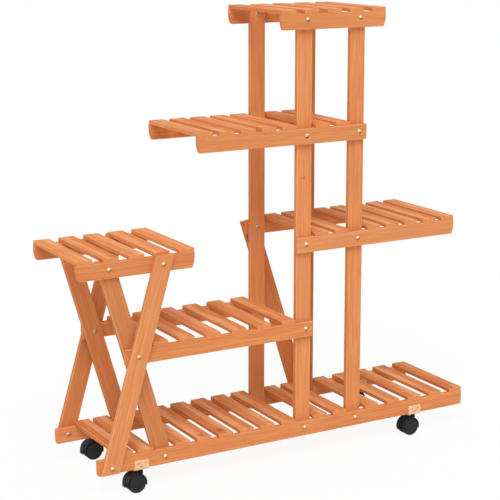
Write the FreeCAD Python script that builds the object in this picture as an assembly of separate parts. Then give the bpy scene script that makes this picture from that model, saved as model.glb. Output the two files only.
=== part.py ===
import FreeCAD, Part
import math
import os

# Rolling plant stand: six slatted shelves stepped round a tower of four posts on the right
# and a crossed pair of legs, front and back, on the left. It rolls on four twin wheel casters.
# Millimetres. X runs along the stand to the right, Y runs from front to back, Z is up.
# The origin is on the floor, under the middle of the stand.

# Whole stand
overall_length = 904.0
overall_height = 918.2
frame_depth = 215.0

# Timber sections
rail_height = 31.4
rail_thickness = 10.0
slat_width = 33.0
slat_thickness = 8.0
post_width = 34.8
post_thickness = 10.5
leg_width = 36.5
leg_thickness = 10.0
edge_round = 1.2
free_end_bow = 5.0
bottom_end_bow = 1.0
square_end_bow = 0.6
end_top_set = 0.4
end_widest_share = 0.25
free_corner_radius = 3.5
square_corner_radius = 2.0

# Heights of the slat tops above the floor
bottom_shelf_height = 84.6
middle_shelf_height = 295.4
side_shelf_height = 470.9
upper_shelf_height = 691.6

# Places along the stand
left_post_x = 48.0
post_spacing = 124.5
bottom_setback = 35.5
side_length = 247.0
middle_lap = 23.2
right_setback = 33.5
right_shelf_lap = 5.0
upper_shelf_lap = 0.9
upper_shelf_length = 387.6
top_overhang_left = 60.0
top_overhang_right = 61.0

# Crossed legs
cross_setback = 120.5
foot_spread = 117.0
head_spread = 109.0
foot_lift = 3.0
outer_head_rise = 3.5
brace_head_drop = 4.5
brace_set_left = 5.4
post_lift = 2.0

# Slat layout
slat_pitch = 52.5
least_slat_gap = 8.0
slat_inset = 0.8
post_gap = 6.1
bay_gap_left = 4.1
bay_gap_right = 4.8
bottom_post_gap = 8.4
leg_gap_left = 0.5
leg_gap_right = 6.9
bottom_first_slat = 42.0
middle_first_slat = 34.8

# Frame bolts, with socket heads on the inner faces and domed sleeve nuts on the outer ones
bolt_diameter = 5.0
bolt_head_diameter = 11.0
bolt_head_height = 2.9
bolt_hole_clearance = 0.25
bolt_rise = 1.6
top_bolt_rise = 4.2
post_foot_bolt_rise = 2.4
leg_foot_bolt_rise = 0.3
bolt_tip_gap = 1.0
socket_across = 3.5
socket_depth = 1.8
nut_head_diameter = 9.5
nut_head_height = 3.1
sleeve_diameter = 6.6
sleeve_length = 8.0
sleeve_clearance = 0.15
thread_clearance = 0.06

# Slat nails
nail_diameter = 1.6
nail_grip = 10.0
nail_clearance = 0.05

# Casters
caster_setback = 127.0
plate_width = 31.0
plate_height = 20.5
plate_flange = 14.0
plate_metal = 1.8
plate_corner_radius = 2.0
screw_spacing = 15.0
screw_row_low = 7.5
screw_row_high = 14.5
screw_diameter = 3.0
screw_head_diameter = 5.4
screw_head_height = 1.4
screw_length = 9.0
screw_clearance = 0.15
screw_cross_length = 3.4
screw_cross_width = 0.9
screw_cross_depth = 1.1
wheel_diameter = 37.5
wheel_width = 8.5
wheel_shoulder = 2.2
wheel_wall = 2.2
wheel_face_recess = 0.5
wheel_rim_width = 2.6
wheel_hub_diameter = 11.0
caster_trail = 12.5
web_thickness = 9.0
wheel_side_gap = 0.5
fender_gap = 0.8
fender_wall = 1.7
fender_setback = 1.2
fender_front_angle = -14.0
fender_rear_angle = 196.0
seam_width = 1.2
seam_depth = 0.5
seam_end_angle = 2.0
tail_hook_radius = 5.3
tail_hook_wall = 1.6
tail_hook_back = 19.8
tail_hook_drop = 2.2
tail_hook_start_angle = 95.0
tail_hook_end_angle = 240.0
web_floor_gap = 12.5
neck_diameter = 10.0
neck_gap = 0.3
axle_diameter = 5.0
axle_clearance = 0.06
axle_inset = 2.5
axle_groove_inset = 2.6
axle_groove_width = 1.4
axle_groove_depth = 0.35
kingpin_diameter = 5.0
kingpin_clearance = 0.06
kingpin_length = 13.0
kingpin_tip_gap = 1.0
kingpin_head_diameter = 8.0
kingpin_groove_inset = 3.6
kingpin_groove_width = 1.3
kingpin_groove_depth = 0.5
grip_ring_wire = 0.9
grip_ring_gap = 0.1
grip_ring_split_share = 0.35

# Overrun of every cut
overrun = 1.0

# Derived levels and faces
side_y = frame_depth / 2
wheel_radius = wheel_diameter / 2
post_half = post_width / 2
right_post_x = left_post_x + post_spacing
cross_x = -overall_length / 2 + cross_setback
right_shelf_left = left_post_x - post_half - right_shelf_lap
right_shelf_right = overall_length / 2 - right_setback
upper_shelf_right = right_post_x + post_half + upper_shelf_lap
upper_shelf_left = upper_shelf_right - upper_shelf_length
Vector = FreeCAD.Vector
FRONT, BACK = -1, 1
SIDES = {"front": FRONT, "back": BACK}
Y_AXIS = Vector(0, 1, 0)
Z_AXIS = Vector(0, 0, 1)
FULL_TURN = 360.0
RIGHT_ANGLE = 90.0


def rail_bottom(shelf_height):
    """Height of a rail's underside, from the height of the slat tops that it carries."""
    return shelf_height - slat_thickness - rail_height


def bolt_level(shelf_height, rise=bolt_rise):
    """Height of the bolts through a shelf's rails, a little above the middle of the rail."""
    return rail_bottom(shelf_height) + rail_height / 2 + rise


# Each shelf: left end, right end, height, and how far the foot of each end is set back.
SHELVES = {
    "bottom": (-overall_length / 2 + bottom_setback, overall_length / 2,
               bottom_shelf_height, bottom_end_bow, square_end_bow),
    "middle": (cross_x - middle_lap, left_post_x + post_half, middle_shelf_height,
               square_end_bow, square_end_bow),
    "side": (-overall_length / 2, -overall_length / 2 + side_length,
             side_shelf_height, free_end_bow, free_end_bow),
    "right": (right_shelf_left, right_shelf_right, side_shelf_height, square_end_bow, free_end_bow),
    "upper": (upper_shelf_left, upper_shelf_right, upper_shelf_height, free_end_bow, square_end_bow),
    "top": (left_post_x - top_overhang_left, right_post_x + top_overhang_right,
            overall_height, free_end_bow, free_end_bow),
}


# Small makers used by every piece

def along_y(radius, x, z, y_from, y_to):
    """Cylinder along Y between two places."""
    start = min(y_from, y_to)
    return Part.makeCylinder(radius, abs(y_to - y_from), Vector(x, start, z), Y_AXIS)


def along_z(radius, x, y, z_from, z_to):
    """Upright cylinder between two heights."""
    return Part.makeCylinder(radius, z_to - z_from, Vector(x, y, z_from), Z_AXIS)


def block(x_from, x_to, y_from, y_to, z_from, z_to):
    """Box between two corners, given in any order in Y."""
    start = min(y_from, y_to)
    return Part.makeBox(x_to - x_from, abs(y_to - y_from), z_to - z_from,
                        Vector(x_from, start, z_from))


def revolved(points, centre, axis):
    """Solid of revolution about Y or Z: points are (radius, distance along the axis)."""
    if axis is Z_AXIS:
        corners = [Vector(centre.x + r, centre.y, centre.z + d) for r, d in points]
    else:
        corners = [Vector(centre.x + r, centre.y + d, centre.z) for r, d in points]
    face = Part.Face(Part.makePolygon(corners + corners[:1]))
    return face.revolve(centre, axis, FULL_TURN)


def dome(radius, height, base, direction):
    """Domed cap on a flat base."""
    ball = (radius ** 2 + height ** 2) / (2 * height)
    latitude = math.degrees(math.asin((ball - height) / ball))
    centre = base - direction * (ball - height)
    return Part.makeSphere(ball, centre, direction, latitude, RIGHT_ANGLE, FULL_TURN)


def hexagon_prism(across, x, z, y_from, y_to):
    """Hexagonal prism along Y, for a driver socket."""
    corner = across / math.sqrt(3)
    sides = 6
    turn = 2 * math.pi / sides
    y_start = min(y_from, y_to)
    ring = [Vector(x + corner * math.cos(turn * i), y_start, z + corner * math.sin(turn * i))
            for i in range(sides + 1)]
    return Part.Face(Part.makePolygon(ring)).extrude(Vector(0, abs(y_to - y_from), 0))


def ease_outline(solid, y_from, y_to, radius):
    """Round the edges that lie in a board's two broad faces."""
    outline = [e for e in solid.Edges
               if all(abs(v.Y - y_from) < radius for v in e.Vertexes)
               or all(abs(v.Y - y_to) < radius for v in e.Vertexes)]
    return solid.makeFillet(radius, outline)


def board(edges, y_from, y_to):
    """Board cut to an outline in the XZ plane, with its edges eased."""
    start = min(y_from, y_to)
    wire = Part.Wire(edges)
    wire.translate(Vector(0, start, 0))
    solid = Part.Face(wire).extrude(Vector(0, abs(y_to - y_from), 0))
    return ease_outline(solid, start, start + abs(y_to - y_from), edge_round)


def straight_edges(points):
    """Closed run of straight edges through (x, z) points."""
    corners = [Vector(x, 0, z) for x, z in points]
    return [Part.LineSegment(a, b).toShape() for a, b in zip(corners, corners[1:] + corners[:1])]


# Frame lines: where the legs, the brace and the bolts run

def leg_lean(spread_sign):
    """Foot and head (x, z) of a crossed leg's centre line, at its two bolts."""
    foot = (cross_x + spread_sign * foot_spread / 2,
            bolt_level(bottom_shelf_height, leg_foot_bolt_rise))
    head = (cross_x - spread_sign * head_spread / 2, bolt_level(side_shelf_height))
    return foot, head


def x_on_line(foot, head, z):
    """X of a leaning board's centre line at a height."""
    return foot[0] + (head[0] - foot[0]) * (z - foot[1]) / (head[1] - foot[1])


def half_across(foot, head):
    """Half of a leaning board's width, measured level."""
    run, rise = head[0] - foot[0], head[1] - foot[1]
    return leg_width / 2 * math.hypot(run, rise) / rise


OUTER_LEG = leg_lean(-1)
INNER_LEG = leg_lean(1)
BRACE = ((right_post_x - brace_set_left, bolt_level(bottom_shelf_height, post_foot_bolt_rise)),
         (left_post_x - brace_set_left, bolt_level(side_shelf_height)))


def leaning_board(line, z_low, z_high, y_from, y_to):
    """Leaning board with level cut ends."""
    foot, head = line
    half = half_across(foot, head)
    low, high = x_on_line(foot, head, z_low), x_on_line(foot, head, z_high)
    outline = [(low - half, z_low), (low + half, z_low), (high + half, z_high), (high - half, z_high)]
    return board(straight_edges(outline), y_from, y_to)


def layer(side, inner, outer):
    """The two Y places of a layer, as distances inwards from the rails' outer face."""
    return side * (side_y - inner), side * (side_y - outer)


def bolt_sites(side):
    """Every bolt of one side: x, z, distances inwards of its outer face and its inner face."""
    rail, post, leg = rail_thickness, post_thickness, leg_thickness
    sites = []
    post_foot = bolt_level(bottom_shelf_height, post_foot_bolt_rise)
    sites.append((left_post_x, post_foot, 0, rail + post))
    sites.append((right_post_x, post_foot, -leg if side == BACK else 0, rail + post))
    sites.append((left_post_x, bolt_level(side_shelf_height), -leg if side == BACK else 0, rail + post))
    sites.append((right_post_x, bolt_level(side_shelf_height), 0, rail + post))
    sites.append((left_post_x, bolt_level(middle_shelf_height), 0, rail + post))
    for x in (left_post_x, right_post_x):
        sites.append((x, bolt_level(upper_shelf_height), 0, rail + post))
        sites.append((x, bolt_level(overall_height, top_bolt_rise), 0, rail + post))
    for x, z in OUTER_LEG:
        sites.append((x, z, -leg, rail))
    for x, z in INNER_LEG:
        sites.append((x, z, 0, rail + leg))
    sites.append((cross_x, bolt_level(middle_shelf_height), -leg, rail + leg))
    return sites


def bolt_holes(side):
    """Cutters of one side's bolts, each wider where the nut's sleeve goes in."""
    cutters = []
    for x, z, outer_in, inner_in in bolt_sites(side):
        y_out, y_in = layer(side, outer_in - overrun, inner_in + overrun)
        cutters.append(along_y(bolt_diameter / 2 + bolt_hole_clearance, x, z, y_out, y_in))
        sleeve_end = outer_in + sleeve_length + sleeve_clearance
        y_out, y_sleeve = layer(side, outer_in - overrun, sleeve_end)
        cutters.append(along_y(sleeve_diameter / 2 + sleeve_clearance, x, z, y_out, y_sleeve))
    return cutters


def slat_runs(name):
    """Stretches of slats on a shelf: first edge and last edge."""
    left, right, height = SHELVES[name][:3]
    bay = (left_post_x + post_half + bay_gap_left, right_post_x - post_half - bay_gap_right)
    before_posts = left_post_x - post_half - post_gap
    after_posts = right_post_x + post_half + post_gap
    if name == "upper":
        return [(left + slat_inset, before_posts), bay]
    if name == "right":
        return [bay, (after_posts, right - slat_inset)]
    if name == "middle":
        return [(cross_x + middle_first_slat, before_posts)]
    if name == "bottom":
        foot, head = INNER_LEG
        half = half_across(foot, head)
        leg_left = x_on_line(foot, head, height) - half - leg_gap_left
        leg_right = x_on_line(foot, head, height - slat_thickness) + half + leg_gap_right
        return [(left + bottom_first_slat, leg_left), (leg_right, before_posts), bay,
                (right_post_x + post_half + bottom_post_gap, right - slat_inset)]
    return [(left + slat_inset, right - slat_inset)]


def slat_places(name):
    """Left edge of every slat on a shelf, spread evenly in each stretch."""
    places = []
    for first, last in slat_runs(name):
        length = last - first - slat_width
        gaps = min(round(length / slat_pitch), math.floor(length / (slat_width + least_slat_gap)))
        if gaps < 1:
            places.append((first + last - slat_width) / 2)
        else:
            places += [first + length * i / gaps for i in range(gaps + 1)]
    return places


def nail_lines(name):
    """Centre (x, y) of every nail on a shelf, one at each end of each slat."""
    y_nail = side_y - rail_thickness / 2
    return [(x + slat_width / 2, side * y_nail) for x in slat_places(name) for side in (FRONT, BACK)]


# Timber

def flat_arc(start, end, x_centre, z_centre, inward):
    """Arc between two points on a circle, by way of the circle's point midway between them."""
    radius = math.hypot(start.x - x_centre, start.z - z_centre)
    z_mid = (start.z + end.z) / 2
    x_mid = x_centre - inward * math.sqrt(radius ** 2 - (z_mid - z_centre) ** 2)
    return Part.Arc(start, Vector(x_mid, 0, z_mid), end).toShape()


def rail_end(x_end, inward, z_low, bow):
    """Bowed end of a rail from its top corner down to its underside: the edges and both end points."""
    z_high = z_low + rail_height
    z_wide = z_high - rail_height * end_widest_share
    widest = Vector(x_end, 0, z_wide)
    top = Vector(x_end + inward * min(end_top_set, bow), 0, z_high)
    rise = z_high - z_wide
    set_back = abs(top.x - x_end)
    top_radius = (rise ** 2 + set_back ** 2) / (2 * set_back)
    drop = z_wide - z_low
    low_radius = (drop ** 2 + bow ** 2) / (2 * bow)
    corner = free_corner_radius if bow > square_end_bow else square_corner_radius
    centre_x = x_end + inward * low_radius
    across = math.sqrt((low_radius - corner) ** 2 - (drop - corner) ** 2)
    turn = Vector(centre_x - inward * across, 0, z_low + corner)
    away = Vector(turn.x - centre_x, 0, turn.z - z_wide).normalize()
    touch = Vector(centre_x, 0, z_wide) + away * low_radius
    foot = Vector(turn.x, 0, z_low)
    bisector = (touch - turn).normalize() + (foot - turn).normalize()
    middle = turn + bisector.normalize() * corner
    return ([flat_arc(top, widest, x_end + inward * top_radius, z_wide, inward),
             flat_arc(widest, touch, centre_x, z_wide, inward),
             Part.Arc(touch, middle, foot).toShape()], top, foot)


def rail_outline(left, right, z_low, left_bow, right_bow):
    """Rail outline with bowed ends and rounded lower corners."""
    left_edges, left_top, left_foot = rail_end(left, 1, z_low, left_bow)
    right_edges, right_top, right_foot = rail_end(right, -1, z_low, right_bow)
    return (left_edges + [Part.LineSegment(left_foot, right_foot).toShape()]
            + right_edges[::-1] + [Part.LineSegment(right_top, left_top).toShape()])


def make_rail(name, side):
    """One shelf rail on edge, with its bolt, nail and screw holes."""
    left, right, height, left_bow, right_bow = SHELVES[name]
    z_low = rail_bottom(height)
    y_out, y_in = layer(side, 0, rail_thickness)
    rail = board(rail_outline(left, right, z_low, left_bow, right_bow), y_out, y_in)
    cutters = bolt_holes(side)
    nail_hole = nail_diameter / 2 + nail_clearance
    z_nail = height - slat_thickness - nail_grip
    for x, y in nail_lines(name):
        if y * side > 0:
            cutters.append(along_z(nail_hole, x, y, z_nail, height))
    if name == "bottom":
        y_face = plate_face(side)
        for x, z in screw_sites():
            cutters.append(along_y(screw_diameter / 2 + screw_clearance, x, z,
                                   y_face - overrun, y_face + screw_length))
    return cut_near(rail, cutters)


def cut_near(solid, cutters):
    """Cut only with the cutters that reach the solid."""
    near = [c for c in cutters if solid.BoundBox.intersect(c.BoundBox)]
    return solid.cut(near) if near else solid


def make_post(x, side):
    """Upright post on the inside of the rails, from the bottom rails to under the top slats."""
    y_out, y_in = layer(side, rail_thickness, rail_thickness + post_thickness)
    z_low = rail_bottom(bottom_shelf_height) + post_lift
    z_high = overall_height - slat_thickness
    left, right = x - post_half, x + post_half
    outline = [(left, z_low), (right, z_low), (right, z_high), (left, z_high)]
    return cut_near(board(straight_edges(outline), y_out, y_in), bolt_holes(side))


def make_outer_leg(side):
    """Leg on the outside of the rails, leaning to the right."""
    y_out, y_in = layer(side, -leg_thickness, 0)
    z_low = rail_bottom(bottom_shelf_height) + foot_lift
    z_high = side_shelf_height - slat_thickness + outer_head_rise
    return cut_near(leaning_board(OUTER_LEG, z_low, z_high, y_out, y_in), bolt_holes(side))


def make_inner_leg(side):
    """Leg on the inside of the rails, leaning to the left, cut off under the slats."""
    y_out, y_in = layer(side, rail_thickness, rail_thickness + leg_thickness)
    z_low = rail_bottom(bottom_shelf_height) + foot_lift
    z_high = side_shelf_height - slat_thickness
    return cut_near(leaning_board(INNER_LEG, z_low, z_high, y_out, y_in), bolt_holes(side))


def make_brace():
    """Diagonal brace across the back of the tower."""
    y_out, y_in = layer(BACK, -leg_thickness, 0)
    z_low = rail_bottom(bottom_shelf_height) + foot_lift
    z_high = side_shelf_height - slat_thickness - brace_head_drop
    return cut_near(leaning_board(BRACE, z_low, z_high, y_out, y_in), bolt_holes(BACK))


def make_slats(name):
    """All slats of one shelf, each a board of its own with rounded edges."""
    height = SHELVES[name][2]
    nail_hole = nail_diameter / 2 + nail_clearance
    slats = []
    for x in slat_places(name):
        slat = block(x, x + slat_width, -side_y, side_y, height - slat_thickness, height)
        slat = slat.makeFillet(edge_round, slat.Edges)
        cutters = [along_z(nail_hole, nx, ny, height - slat_thickness - overrun, height + overrun)
                   for nx, ny in nail_lines(name)]
        slats.append(cut_near(slat, cutters))
    return Part.makeCompound(slats)


# Fasteners

def make_nails():
    """Slat nails, driven flush with the slat tops into the rails."""
    nails = []
    for name in SHELVES:
        height = SHELVES[name][2]
        for x, y in nail_lines(name):
            nails.append(along_z(nail_diameter / 2, x, y, height - slat_thickness - nail_grip,
                                 height - nail_clearance))
    return Part.makeCompound(nails)


def make_bolt(x, z, side, outer_in, inner_in):
    """Button head bolt with a hexagon socket, headed on the inner face."""
    y_tip, y_head = layer(side, outer_in + bolt_tip_gap, inner_in)
    head = dome(bolt_head_diameter / 2, bolt_head_height, Vector(x, y_head, z), Vector(0, -side, 0))
    shank = along_y(bolt_diameter / 2, x, z, y_head, y_tip)
    y_socket = y_head - side * (bolt_head_height - socket_depth)
    y_open = y_head - side * (bolt_head_height + overrun)
    return head.fuse(shank).removeSplitter().cut(hexagon_prism(socket_across, x, z, y_socket, y_open))


def make_nut(x, z, side, outer_in):
    """Domed nut on the outer face, whose sleeve reaches into the wood round the bolt's end."""
    y_face, y_end = layer(side, outer_in, outer_in + sleeve_length)
    head = dome(nut_head_diameter / 2, nut_head_height, Vector(x, y_face, z), Vector(0, side, 0))
    sleeve = along_y(sleeve_diameter / 2, x, z, y_face, y_end)
    thread = along_y(bolt_diameter / 2 + thread_clearance, x, z, y_face, y_end - side * overrun)
    return head.fuse(sleeve).removeSplitter().cut(thread)


def make_bolts():
    """Every frame bolt."""
    return Part.makeCompound([make_bolt(x, z, side, outer_in, inner_in)
                              for side in SIDES.values()
                              for x, z, outer_in, inner_in in bolt_sites(side)])


def make_nuts():
    """Every domed sleeve nut."""
    return Part.makeCompound([make_nut(x, z, side, outer_in)
                              for side in SIDES.values()
                              for x, z, outer_in, inner_in in bolt_sites(side)])


def kingpin_places():
    """X of the left and the right casters."""
    reach = overall_length / 2 - caster_setback
    return -reach, reach


def plate_face(side):
    """Y of the rail face that carries a caster plate: on both rails the one turned to the front."""
    return -side_y if side == FRONT else side_y - rail_thickness


def screw_sites():
    """Screws of the caster plates: two above and one below, on each plate."""
    z_edge = rail_bottom(bottom_shelf_height) - plate_metal
    sites = []
    for x in kingpin_places():
        sites.append((x - screw_spacing / 2, z_edge + screw_row_high))
        sites.append((x + screw_spacing / 2, z_edge + screw_row_high))
        sites.append((x, z_edge + screw_row_low))
    return sites


def make_screws():
    """Round headed cross recess screws that hold the caster plates to the bottom rails."""
    screws = []
    half_length, half_width = screw_cross_length / 2, screw_cross_width / 2
    for side in SIDES.values():
        y_seat = plate_face(side) - plate_metal
        y_top = y_seat - screw_head_height
        y_floor = y_top + screw_cross_depth
        for x, z in screw_sites():
            head = dome(screw_head_diameter / 2, screw_head_height, Vector(x, y_seat, z), -Y_AXIS)
            shank = along_y(screw_diameter / 2, x, z, y_seat, y_seat + screw_length)
            screw = head.fuse(shank).removeSplitter()
            for half_x, half_z in ((half_length, half_width), (half_width, half_length)):
                screw = screw.cut(block(x - half_x, x + half_x, y_floor, y_top - overrun,
                                        z - half_z, z + half_z))
            screws.append(screw)
    return Part.makeCompound(screws)


# Casters, each in its own place: x of the kingpin, and the side of the stand

def caster_y(side):
    """Y of a caster's kingpin: under the middle of the rail's thickness."""
    return side * (side_y - rail_thickness / 2)


def make_plate(x, side):
    """Bent plate: one leg screwed to the rail's front face, the other under the rail."""
    z_top = rail_bottom(bottom_shelf_height)
    z_under = z_top - plate_metal
    y_face = plate_face(side)
    y_out = y_face - plate_metal
    half = plate_width / 2
    leg = block(x - half, x + half, y_out, y_face, z_under, z_under + plate_height)
    flange = block(x - half, x + half, y_out, y_out + plate_flange, z_under, z_top)
    plate = leg.fuse(flange).removeSplitter()
    bend = [e for e in plate.Edges
            if all(abs(v.Y - y_out) < plate_metal / 2 and abs(v.Z - z_under) < plate_metal / 2
                   for v in e.Vertexes)]
    plate = plate.makeFillet(plate_metal, bend)
    corners = [e for e in plate.Edges
               if all(abs(v.Z - z_under - plate_height) < plate_metal / 2 for v in e.Vertexes)
               and abs(e.Vertexes[0].Y - e.Vertexes[-1].Y) > plate_metal / 2]
    plate = plate.makeFillet(plate_corner_radius, corners)
    for sx, sz in screw_sites():
        plate = cut_near(plate, [along_y(screw_diameter / 2 + screw_clearance, sx, sz,
                                         y_out - overrun, y_face + overrun)])
    shank = kingpin_diameter / 2 + kingpin_clearance
    head = kingpin_head_diameter / 2 + kingpin_clearance
    countersink = [(0, -overrun), (shank, -overrun), (shank, 0), (head, plate_metal), (0, plate_metal)]
    return plate.cut(revolved(countersink, Vector(x, caster_y(side), z_under), Z_AXIS))


def make_kingpin(x, side):
    """Riveted pin that the caster turns on, with a groove for its grip ring."""
    z_under = rail_bottom(bottom_shelf_height) - plate_metal
    shank = kingpin_diameter / 2
    groove = shank - kingpin_groove_depth
    low = -kingpin_length
    groove_low = low + kingpin_groove_inset
    groove_high = groove_low + kingpin_groove_width
    profile = [(0, low), (groove, low), (shank, low + kingpin_groove_depth), (shank, groove_low),
               (groove, groove_low), (groove, groove_high), (shank, groove_high), (shank, 0),
               (kingpin_head_diameter / 2, plate_metal), (0, plate_metal)]
    return revolved(profile, Vector(x, caster_y(side), z_under), Z_AXIS)


def grip_ring_level():
    """Height of the middle of the grip ring."""
    z_under = rail_bottom(bottom_shelf_height) - plate_metal
    return z_under - kingpin_length + kingpin_groove_inset + kingpin_groove_width / 2


def make_grip_rings():
    """Split spring rings that keep the casters on their kingpins."""
    rings = []
    wire = grip_ring_wire / 2
    ring_radius = kingpin_diameter / 2 - kingpin_groove_depth + grip_ring_gap + wire
    split = ring_radius * grip_ring_split_share
    for side in SIDES.values():
        for x in kingpin_places():
            centre = Vector(x, caster_y(side), grip_ring_level())
            ring = Part.makeTorus(ring_radius, wire, centre, Z_AXIS)
            slot = block(x, x + ring_radius + grip_ring_wire, centre.y - split, centre.y + split,
                         centre.z - grip_ring_wire, centre.z + grip_ring_wire)
            rings.append(ring.cut(slot))
    return Part.makeCompound(rings)


def arc_band(inner, outer, start_deg, end_deg, centre, width):
    """Band of a ring, square to Y and centred on the caster's middle plane."""
    def at(radius, angle):
        turn = math.radians(angle)
        return Vector(centre.x + radius * math.cos(turn), centre.y - width / 2,
                      centre.z + radius * math.sin(turn))
    middle = (start_deg + end_deg) / 2
    edges = [Part.Arc(at(inner, start_deg), at(inner, middle), at(inner, end_deg)).toShape(),
             Part.LineSegment(at(inner, end_deg), at(outer, end_deg)).toShape(),
             Part.Arc(at(outer, end_deg), at(outer, middle), at(outer, start_deg)).toShape(),
             Part.LineSegment(at(outer, start_deg), at(inner, start_deg)).toShape()]
    return Part.Face(Part.Wire(edges)).extrude(Vector(0, width, 0))


def make_hood(x, side):
    """Caster body: web between the wheels, grooved fender over them, tail hook and neck."""
    axle = Vector(x - caster_trail, caster_y(side), wheel_radius)
    z_plate = rail_bottom(bottom_shelf_height) - plate_metal
    inner = wheel_radius + fender_gap
    outer = inner + fender_wall
    width = web_thickness + 2 * (wheel_side_gap + wheel_width - fender_setback)
    fender = arc_band(inner, outer, fender_front_angle, fender_rear_angle, axle, width)
    fender = fender.cut(arc_band(outer - seam_depth, outer + overrun, fender_front_angle - seam_end_angle,
                                 fender_rear_angle + seam_end_angle, axle, seam_width))
    hook_centre = axle - Vector(tail_hook_back, 0, tail_hook_drop)
    hook = arc_band(tail_hook_radius - tail_hook_wall, tail_hook_radius, tail_hook_start_angle,
                    tail_hook_end_angle, hook_centre, web_thickness)
    web = along_y(inner + fender_wall / 2, axle.x, axle.z,
                  axle.y - web_thickness / 2, axle.y + web_thickness / 2)
    web = web.cut(block(axle.x - wheel_diameter, axle.x + wheel_diameter, axle.y - web_thickness,
                        axle.y + web_thickness, -wheel_radius, web_floor_gap))
    neck_low = axle.z + math.sqrt(inner ** 2 - caster_trail ** 2)
    neck = along_z(neck_diameter / 2, x, axle.y, neck_low, z_plate - neck_gap)
    hood = web.fuse([fender, hook, neck]).removeSplitter()
    for cutter in hood_bores(x, axle, z_plate):
        hood = hood.cut(cutter)
    return trim_under_neck(hood, axle, inner)


def trim_under_neck(hood, axle, inner):
    """Keep the wheels' space clear: the neck is cut back to the fender's inner face."""
    reach = wheel_side_gap + wheel_width + overrun
    for sign in (FRONT, BACK):
        y_web = axle.y + sign * web_thickness / 2
        hood = hood.cut(along_y(inner, axle.x, axle.z, y_web, y_web + sign * reach))
    return hood


def hood_bores(x, axle, z_plate):
    """The kingpin's blind bore with the ring's groove, and the axle's bore."""
    bore = kingpin_diameter / 2 + kingpin_clearance
    room = kingpin_diameter / 2 - kingpin_groove_depth + grip_ring_gap + grip_ring_wire + grip_ring_gap
    ring = grip_ring_level() - z_plate
    half = grip_ring_wire / 2 + grip_ring_gap
    low = -kingpin_length - kingpin_tip_gap
    profile = [(0, low), (bore, low), (bore, ring - half), (room, ring - half), (room, ring + half),
               (bore, ring + half), (bore, overrun), (0, overrun)]
    return [revolved(profile, Vector(x, axle.y, z_plate), Z_AXIS),
            along_y(axle_diameter / 2 + axle_clearance, axle.x, axle.z,
                    axle.y - web_thickness, axle.y + web_thickness)]


def make_axle(x, side):
    """Axle through the web, with a snap groove for each wheel."""
    centre = Vector(x - caster_trail, caster_y(side), wheel_radius)
    half = web_thickness / 2 + wheel_side_gap + wheel_width - axle_inset
    shank = axle_diameter / 2
    groove = shank - axle_groove_depth
    far, near = half - axle_groove_inset, half - axle_groove_inset - axle_groove_width
    tip = half - axle_groove_depth
    profile = [(0, -half), (groove, -half), (shank, -tip), (shank, -far), (groove, -far),
               (groove, -near), (shank, -near), (shank, near), (groove, near), (groove, far),
               (shank, far), (shank, tip), (groove, half), (0, half)]
    return revolved(profile, centre, Y_AXIS)


def make_wheel(x, side, sign):
    """Moulded wheel with a closed outer face, a hollow back and a snap bead in its bore."""
    centre = Vector(x - caster_trail, caster_y(side), wheel_radius)
    y_in = web_thickness / 2 + wheel_side_gap
    y_out = y_in + wheel_width
    axle_end = y_out - axle_inset
    bore = axle_diameter / 2 + axle_clearance
    bead = bore - axle_groove_depth
    bead_out = axle_end - axle_groove_inset - axle_clearance
    bead_in = bead_out - axle_groove_width + 2 * axle_clearance
    blind = axle_end + axle_clearance
    hub = wheel_hub_diameter / 2
    rim = wheel_radius - wheel_wall
    face_in = wheel_radius - wheel_rim_width
    floor = y_out - wheel_wall
    steps = 4
    bends = [math.radians(RIGHT_ANGLE * i / steps) for i in range(steps + 1)]
    shoulder = [(wheel_radius - wheel_shoulder * (1 - math.cos(b)),
                 y_out - wheel_shoulder * (1 - math.sin(b))) for b in bends]
    half_profile = [(bore, y_in), (hub, y_in), (hub, floor), (rim, floor), (rim, y_in),
                    (wheel_radius, y_in), *shoulder,
                    (face_in, y_out), (face_in - wheel_face_recess, y_out - wheel_face_recess),
                    (0, y_out - wheel_face_recess), (0, blind), (bore, blind), (bore, bead_out),
                    (bead, bead_out), (bead, bead_in), (bore, bead_in)]
    return revolved([(r, sign * y) for r, y in half_profile], centre, Y_AXIS)


# Every sub-part by name

def caster_parts():
    """The pieces of the four casters."""
    parts = {}
    for side_name, side in SIDES.items():
        for end_name, x in zip(("left", "right"), kingpin_places()):
            where = side_name + "_" + end_name
            parts["caster_plate_" + where] = make_plate(x, side)
            parts["caster_kingpin_" + where] = make_kingpin(x, side)
            parts["caster_hood_" + where] = make_hood(x, side)
            parts["caster_axle_" + where] = make_axle(x, side)
            parts["caster_wheel_outer_" + where] = make_wheel(x, side, side)
            parts["caster_wheel_inner_" + where] = make_wheel(x, side, -side)
    return parts


def frame_parts():
    """Rails, posts, legs, brace and slats."""
    parts = {}
    for side_name, side in SIDES.items():
        for shelf in SHELVES:
            parts[shelf + "_rail_" + side_name] = make_rail(shelf, side)
        parts["post_left_" + side_name] = make_post(left_post_x, side)
        parts["post_right_" + side_name] = make_post(right_post_x, side)
        parts["leg_outer_" + side_name] = make_outer_leg(side)
        parts["leg_inner_" + side_name] = make_inner_leg(side)
    parts["back_brace"] = make_brace()
    for shelf in SHELVES:
        parts[shelf + "_slats"] = make_slats(shelf)
    return parts


def fastener_parts():
    """Fasteners, one group for each kind."""
    return {"frame_bolts": make_bolts(), "frame_cap_nuts": make_nuts(), "slat_nails": make_nails(),
            "caster_screws": make_screws(), "caster_grip_rings": make_grip_rings()}


def main():
    """Build every sub-part and write one file for each."""
    os.makedirs("parts", exist_ok=True)
    parts = {**frame_parts(), **caster_parts(), **fastener_parts()}
    for name, shape in parts.items():
        shape.exportStep("parts/" + name + ".step")
    whole = Part.makeCompound(list(parts.values())).BoundBox
    print(len(parts), "sub-parts,", round(whole.XLength), round(whole.YLength), round(whole.ZLength))


main()
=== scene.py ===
"""Rolling plant stand: stained timber, plated fasteners and black twin wheel casters."""

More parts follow.
